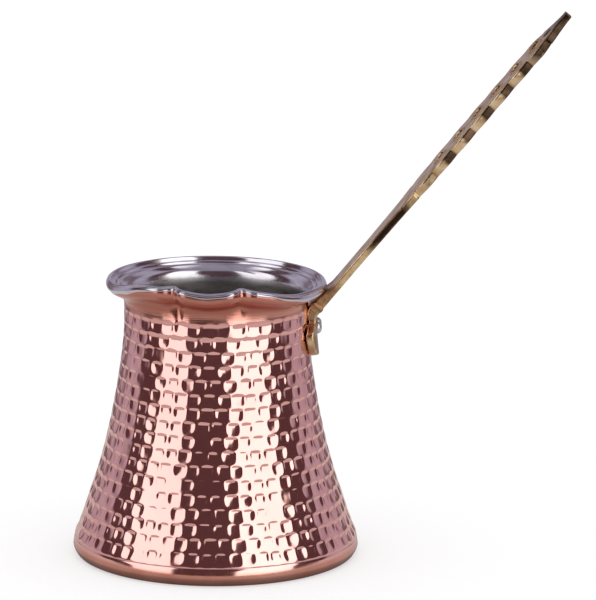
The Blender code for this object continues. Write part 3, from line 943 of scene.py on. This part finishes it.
def tin_material():
    """Hand-wiped tin: bright on the lip, grainy at the neck and darkened there by painted shade,
    paler further down.
    """
    material, tree, output = node_tree("wiped tin")
    grain = stretched_noise(tree, 700.0, (1, 1, 1))
    wipes = stretched_noise(tree, 40.0, (3, 3, 14))
    height = height_above(tree)
    share = math_node(tree, "DIVIDE", height, RIM_HEIGHT)
    # Painted shade: below the bright lip the tin is darkened down into the neck's shaded inside.
    # The bright tin's blue-violet tint is a painted reflection of the studio's mauve.
    lip = value_ramp(tree, share, [(0.918, 0.0), (0.952, 1.0)])
    shaded_tin = ramp(tree, wipes, [(0.3, (0.22, 0.21, 0.20)), (0.7, (0.36, 0.35, 0.335))])
    bright = ramp(tree, wipes, [(0.3, (0.58, 0.555, 0.63)), (0.7, (0.74, 0.72, 0.80))])
    # Further down, the painted shade gives way to plain pale tin.
    deep = value_ramp(tree, share, [(0.72, 1.0), (0.85, 0.0)])
    shaded_tin = mix_colour(tree, deep, shaded_tin, (0.74, 0.73, 0.72))
    colour = mix_colour(tree, lip, shaded_tin, bright)
    dull_rough = value_ramp(tree, grain, [(0.3, 0.34), (0.7, 0.46)])
    bright_rough = value_ramp(tree, wipes, [(0.3, 0.11), (0.7, 0.18)])
    rough = mix_colour(tree, lip, dull_rough, bright_rough)
    relief = math_node(tree, "MULTIPLY", grain, math_node(tree, "SUBTRACT", 1.15, lip))
    metal_shader(tree, output, colour, rough, bump(tree, relief, 0.3, 0.00012))
    return material


def along_handle(tree):
    """The point's distance along the stem from the bend, in object space."""
    corner, direction, _ = stem_frame()
    place = add_node(tree, "ShaderNodeTexCoord")
    moved = add_node(tree, "ShaderNodeVectorMath", operation="SUBTRACT")
    tree.links.new(place.outputs["Object"], moved.inputs[0])
    moved.inputs[1].default_value = corner
    along = add_node(tree, "ShaderNodeVectorMath", operation="DOT_PRODUCT")
    tree.links.new(moved.outputs["Vector"], along.inputs[0])
    along.inputs[1].default_value = direction
    return along.outputs["Value"]


def on_side_faces(tree):
    """1 on the handle's two long side faces, 0 on its top and bottom."""
    place = add_node(tree, "ShaderNodeTexCoord")
    split = add_node(tree, "ShaderNodeSeparateXYZ")
    tree.links.new(place.outputs["Normal"], split.inputs["Vector"])
    sideways = math_node(tree, "ABSOLUTE", split.outputs["Y"], 0.0)
    return value_ramp(tree, sideways, [(0.45, 0.0), (0.75, 1.0)])


def brass_material():
    """Cast brass: pale gold; painted dark reflection, brown, on the side faces at each lobe's
    head, along the tip and part of the stem; the tip brown all round; painted reddish shade near
    the bend."""
    material, tree, output = node_tree("cast brass")
    patches = stretched_noise(tree, 210.0, (1, 1, 1))
    sanding = stretched_noise(tree, 900.0, (1, 3, 1))
    gold = ramp(
        tree,
        patches,
        [(0.30, (0.58, 0.40, 0.21)), (0.50, (0.74, 0.55, 0.32)), (0.68, (0.86, 0.68, 0.45))],
    )
    # Near-black brown used for the painted dark reflection on the side faces, and for the tip.
    brown = ramp(tree, patches, [(0.35, (0.026, 0.015, 0.010)), (0.7, (0.10, 0.053, 0.032))])
    distance = along_handle(tree)
    wander = math_node(tree, "MULTIPLY", math_node(tree, "SUBTRACT", patches, 0.5), 0.010)
    place = math_node(tree, "ADD", distance, wander)
    share = math_node(tree, "DIVIDE", place, STEM_LENGTH)

    def at(metres):
        return metres / STEM_LENGTH

    # Painted dark reflection on the side faces: along part of the stem, along the tip and over
    # each lobe's head.
    stretches = value_ramp(
        tree,
        share,
        [(at(0.027), 0.0), (at(0.034), 0.93), (at(0.047), 0.93), (at(0.052), 0.0),
         (at(0.112), 0.0), (at(0.121), 0.96)],
    )
    past_first = math_node(tree, "SUBTRACT", distance, LOBE_START)
    lobes = math_node(tree, "DIVIDE", past_first, LOBE_PITCH)
    phase = math_node(tree, "FRACT", lobes, 0.0)
    heads = value_ramp(
        tree, phase, [(0.0, 0.5), (0.08, 0.0), (0.48, 0.0), (0.62, 0.97), (1.0, 0.97)]
    )
    among_lobes = value_ramp(
        tree, share, [(at(0.056), 0.0), (at(0.066), 1.0), (at(0.123), 1.0), (at(0.127), 0.0)]
    )
    in_lobes = math_node(tree, "MULTIPLY", heads, among_lobes)
    side_reflection_and_dark_tip = math_node(tree, "MAXIMUM", stretches, in_lobes)
    side_reflection_and_dark_tip = math_node(tree, "MULTIPLY", side_reflection_and_dark_tip, on_side_faces(tree))
    # The tip is darkened brown all round.
    whole_tip = value_ramp(tree, share, [(at(0.122), 0.0), (at(0.130), 0.9)])
    side_reflection_and_dark_tip = math_node(tree, "MAXIMUM", side_reflection_and_dark_tip, whole_tip)
    colour = mix_colour(tree, side_reflection_and_dark_tip, gold, brown)
    # Painted shade, reddish, close to the bend.
    bend_shade = value_ramp(
        tree, share, [(0.0, 0.25), (at(0.0025), 0.9), (at(0.010), 0.75), (at(0.018), 0.0)]
    )
    reddish_bend_shade = ramp(tree, patches, [(0.42, (0.17, 0.065, 0.03)), (0.62, (0.58, 0.32, 0.15))])
    colour = mix_colour(tree, bend_shade, colour, reddish_bend_shade)
    rough = value_ramp(tree, patches, [(0.3, 0.34), (0.7, 0.20)])
    metal_shader(tree, output, colour, rough, bump(tree, sanding, 0.3, 0.0001))
    return material


def aluminium_material():
    """Bare aluminium with a beaten, slightly greyed surface."""
    material, tree, output = node_tree("bare aluminium")
    beaten = stretched_noise(tree, 1100.0, (1, 1, 1))
    colour = ramp(tree, beaten, [(0.3, (0.50, 0.49, 0.51)), (0.7, (0.74, 0.73, 0.75))])
    rough = value_ramp(tree, beaten, [(0.3, 0.42), (0.7, 0.28)])
    metal_shader(tree, output, colour, rough, bump(tree, beaten, 0.5, 0.00015))
    return material


def degrees_share(degrees):
    """Where an azimuth lies on a ramp that goes once round, from -180 to 180 degrees."""
    return (degrees + 180) / 360


def studio_world():
    """A white studio. What the metal mirrors is the studio's soft boxes, the dark gaps between
    them and the floor; what the camera and the floor see is plain white."""
    world = bpy.data.worlds.new("studio")
    bpy.context.scene.world = world
    world.use_nodes = True
    tree = world.node_tree
    tree.nodes.clear()
    place = add_node(tree, "ShaderNodeTexCoord")
    split = add_node(tree, "ShaderNodeSeparateXYZ")
    tree.links.new(place.outputs["Generated"], split.inputs["Vector"])
    forwards = math_node(tree, "MULTIPLY", split.outputs["Y"], -1.0)
    azimuth = math_node(tree, "ARCTAN2", split.outputs["X"], forwards)
    plain_share = math_node(tree, "ADD", math_node(tree, "DIVIDE", azimuth, math.tau), 0.5)
    leaning = value_ramp(
        tree,
        plain_share,
        [(degrees_share(-62), 0.0), (degrees_share(-45), 0.63), (degrees_share(0), 0.63),
         (degrees_share(12), 1.0), (degrees_share(100), 1.0), (degrees_share(130), 0.63)],
    )
    lean = math_node(tree, "SUBTRACT", math_node(tree, "MULTIPLY", leaning, 0.95), 0.60)
    rise = math_node(tree, "ARCSINE", split.outputs["Z"], 0.0)
    elevation = math_node(tree, "MAXIMUM", rise, 0.0)
    shift = math_node(tree, "MULTIPLY", lean, math_node(tree, "DIVIDE", elevation, math.tau))
    round_share = math_node(tree, "SUBTRACT", plain_share, shift)
    half = math_node(tree, "MULTIPLY", split.outputs["Z"], 0.5)
    height_share = math_node(tree, "ADD", half, 0.5)

    dark = (0.095, 0.050, 0.054)
    mauve = (0.41, 0.365, 0.44)
    shade = (0.20, 0.150, 0.165)
    pale = (0.52, 0.47, 0.54)
    left_box = (1.50, 1.47, 1.44)
    right_box = (1.80, 1.77, 1.72)
    panels = [
        (-180, mauve), (-158, mauve), (-154, shade), (-140, shade), (-136, mauve), (-118, pale),
        (-104, mauve), (-99, dark), (-71, dark), (-68, left_box), (-36, left_box), (-34, dark),
        (14, dark), (16, right_box), (63, right_box), (65, dark), (95, dark), (101, mauve),
        (118, pale), (134, mauve), (138, shade), (152, shade), (156, mauve), (180, mauve),
    ]
    around = ramp(tree, round_share, [(degrees_share(degree), tone) for degree, tone in panels])

    def above(elevations):
        stops = []
        for degrees, value in elevations:
            stops.append((0.5 + 0.5 * math.sin(math.radians(degrees)), value))
        return value_ramp(tree, height_share, stops)

    overhead = mix_colour(tree, above([(58, 0.0), (72, 1.0)]), around, (0.34, 0.31, 0.36))
    mirrored = mix_colour(tree, above([(-22, 0.0), (-16, 1.0)]), (0.25, 0.20, 0.19), overhead)
    rays = add_node(tree, "ShaderNodeLightPath")
    seen = mix_colour(tree, rays.outputs["Is Glossy Ray"], (1.08, 1.08, 1.08), mirrored)
    background = add_node(tree, "ShaderNodeBackground")
    tree.links.new(seen, background.inputs["Color"])
    output = add_node(tree, "ShaderNodeOutputWorld")
    tree.links.new(background.outputs["Background"], output.inputs["Surface"])


def floor():
    """A plain pale floor. The metal mirrors it as a glowing table top, a painted reflection with a
    painted shadow close round the pot.
    """
    mesh = bpy.data.meshes.new("floor")
    work = bmesh.new()
    bmesh.ops.create_circle(work, cap_ends=True, radius=12.0, segments=96)
    work.to_mesh(mesh)
    work.free()
    ground = bpy.data.objects.new("floor", mesh)
    bpy.context.scene.collection.objects.link(ground)
    material, tree, output = node_tree("pale floor")
    matt = add_node(tree, "ShaderNodeBsdfDiffuse")
    matt.inputs["Color"].default_value = (0.98, 0.98, 0.985, 1.0)
    place = add_node(tree, "ShaderNodeTexCoord")
    length = add_node(tree, "ShaderNodeVectorMath", operation="LENGTH")
    tree.links.new(place.outputs["Object"], length.inputs[0])
    # Painted reflection for glossy rays: a glowing table top with a painted shadow close round the
    # pot.
    shade = ramp(
        tree,
        length.outputs["Value"],
        [(0.047, (0.10, 0.09, 0.09)), (0.0505, (0.26, 0.25, 0.25)), (0.055, (0.50, 0.47, 0.46)),
         (0.085, (0.55, 0.50, 0.48)), (0.14, (0.64, 0.60, 0.585)), (0.28, (0.62, 0.58, 0.57)),
         (TABLE_RADIUS, (0.25, 0.20, 0.19))],
    )
    lit = add_node(tree, "ShaderNodeEmission", in_Color=(1.02, 1.02, 1.03, 1.0))
    soft = add_node(tree, "ShaderNodeMixShader", in_Fac=FLOOR_GLOW)
    tree.links.new(matt.outputs[0], soft.inputs[1])
    tree.links.new(lit.outputs[0], soft.inputs[2])
    mirrored = add_node(tree, "ShaderNodeEmission")
    tree.links.new(shade, mirrored.inputs["Color"])
    clear = add_node(tree, "ShaderNodeBsdfTransparent")
    table_edge = math_node(tree, "GREATER_THAN", length.outputs["Value"], TABLE_RADIUS)
    table = add_node(tree, "ShaderNodeMixShader")
    tree.links.new(table_edge, table.inputs[0])
    tree.links.new(mirrored.outputs[0], table.inputs[1])
    tree.links.new(clear.outputs[0], table.inputs[2])
    rays = add_node(tree, "ShaderNodeLightPath")
    both = add_node(tree, "ShaderNodeMixShader")
    tree.links.new(rays.outputs["Is Glossy Ray"], both.inputs[0])
    tree.links.new(soft.outputs[0], both.inputs[1])
    tree.links.new(table.outputs[0], both.inputs[2])
    tree.links.new(both.outputs[0], output.inputs["Surface"])
    mesh.materials.append(material)


def camera():
    """The camera: a long lens a little above the pot's rim."""
    data = bpy.data.cameras.new("camera")
    data.lens = CAMERA_LENS
    data.sensor_width = 36.0
    data.clip_end = 100.0
    view = bpy.data.objects.new("camera", data)
    bpy.context.scene.collection.objects.link(view)
    forward = Vector((0, math.cos(CAMERA_ELEVATION), -math.sin(CAMERA_ELEVATION)))
    right = Vector((1, 0, 0))
    up = right.cross(forward)
    view.location = Vector((0, 0, CAMERA_FOCUS_HEIGHT)) - forward * CAMERA_DISTANCE
    aim = (forward + right * CAMERA_PAN + up * CAMERA_TILT).normalized()
    level = aim.to_track_quat("-Z", "Y")
    roll = Matrix.Rotation(CAMERA_ROLL, 3, "Z").to_quaternion()
    view.rotation_mode = "QUATERNION"
    view.rotation_quaternion = level @ roll
    bpy.context.scene.camera = view


camera()
studio_world()
floor()
copper_pot(copper_material())
tinned_lining(tin_material())
cast_handle(brass_material())
aluminium = aluminium_material()
rivet("front_rivet_beaten", "front_rivet", -1, aluminium)
rivet("rear_rivet_beaten", "rear_rivet", 1, aluminium)
bpy.context.scene.view_settings.view_transform = "Standard"
